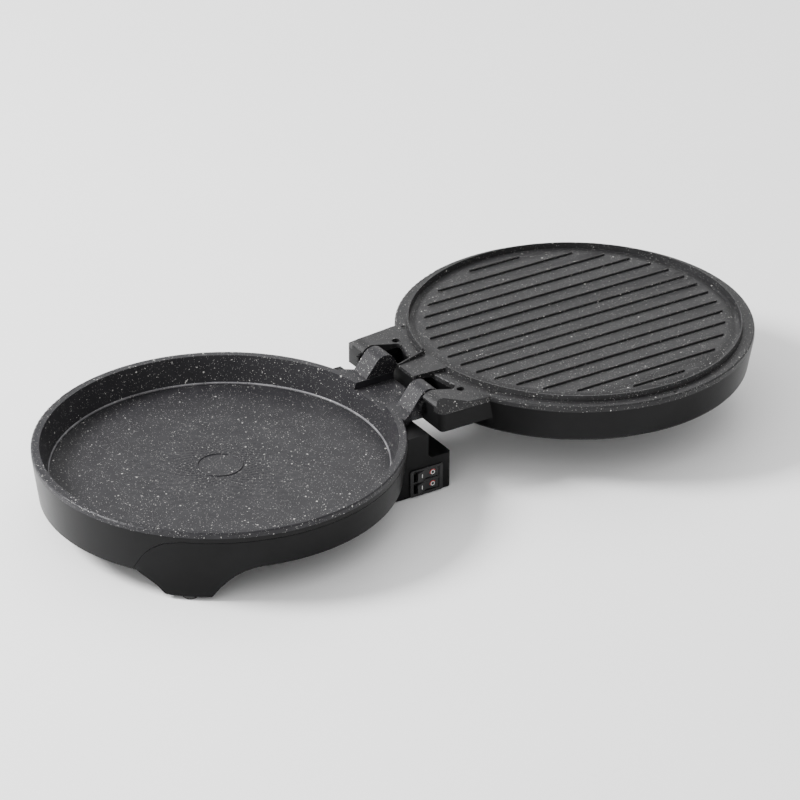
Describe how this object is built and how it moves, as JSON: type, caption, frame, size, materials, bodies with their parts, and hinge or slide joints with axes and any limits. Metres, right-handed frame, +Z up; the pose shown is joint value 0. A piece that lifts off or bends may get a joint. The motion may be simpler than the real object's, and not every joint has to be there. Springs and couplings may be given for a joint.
{
  "type": "electric baking pan",
  "caption": "Round countertop baking pan lying open: a deep coated lower pan, a flat ribbed grill lid on a rear hinge, black housings and a side rocker switch block.",
  "frame": {"origin": "on the floor under the middle of the hinge axis", "axes": "+Z up, +Y from the lower pan to the opened lid, +X towards the side with the switches"},
  "size_m": [0.33, 0.705, 0.0881],
  "materials": {
    "stone_coating": "speckled grey non-stick coating on die-cast aluminium",
    "black_housing": "matte black moulded plastic",
    "black_gloss": "satin black plastic",
    "foot_rubber": "matte rubber",
    "inner_plastic": "matte moulded plastic",
    "pin_steel": "zinc-plated steel",
    "bush_brass": "turned brass",
    "heater_sheath": "oxidised heater sheath",
    "sheet_steel": "aluminised sheet steel"
  },
  "bodies": {
    "lower": {"lower_cooking_plate": "stone_coating", "lower_shell": "black_housing", "front_trim_band": "black_housing", "base_cover": "black_housing", "lower_plate_screws": "pin_steel", "base_cover_screws": "pin_steel", "rubber_feet": "foot_rubber", "switch_bezel": "black_gloss", "switch_body": "inner_plastic", "cable_gland": "foot_rubber", "terminal_block": "inner_plastic", "lower_heating_element": "heater_sheath", "lower_heat_shield": "sheet_steel", "lower_thermostat": "sheet_steel", "lower_element_clamps": "sheet_steel", "hinge_pin_left": "pin_steel", "hinge_pin_right": "pin_steel"},
    "upper_rocker": {"upper_plate_rocker": "black_gloss"},
    "lower_rocker": {"lower_plate_rocker": "black_gloss"},
    "lid": {"upper_cooking_plate": "stone_coating", "upper_shell": "black_housing", "upper_cover": "black_housing", "hinge_bush_left": "bush_brass", "hinge_bush_right": "bush_brass", "upper_heating_element": "heater_sheath", "upper_heat_shield": "sheet_steel", "upper_thermostat": "sheet_steel", "upper_element_clamps": "sheet_steel", "upper_shell_screws": "pin_steel"}
  },
  "joints": [
    {"name": "lid_hinge", "type": "hinge", "parent": "lower", "child": "lid", "pos_m": [0, 0, 0.07635], "axis": [1, 0, 0], "range_deg": [0, 180]},
    {"name": "upper_rocker_pivot", "type": "hinge", "parent": "lower", "child": "upper_rocker", "pos_m": [0.07, -0.0206, 0.0205], "axis": [0, 0, -1], "range_deg": [0, 16]},
    {"name": "lower_rocker_pivot", "type": "hinge", "parent": "lower", "child": "lower_rocker", "pos_m": [0.07, -0.0206, 0.0089], "axis": [0, 0, -1], "range_deg": [0, 16]}
  ]
}
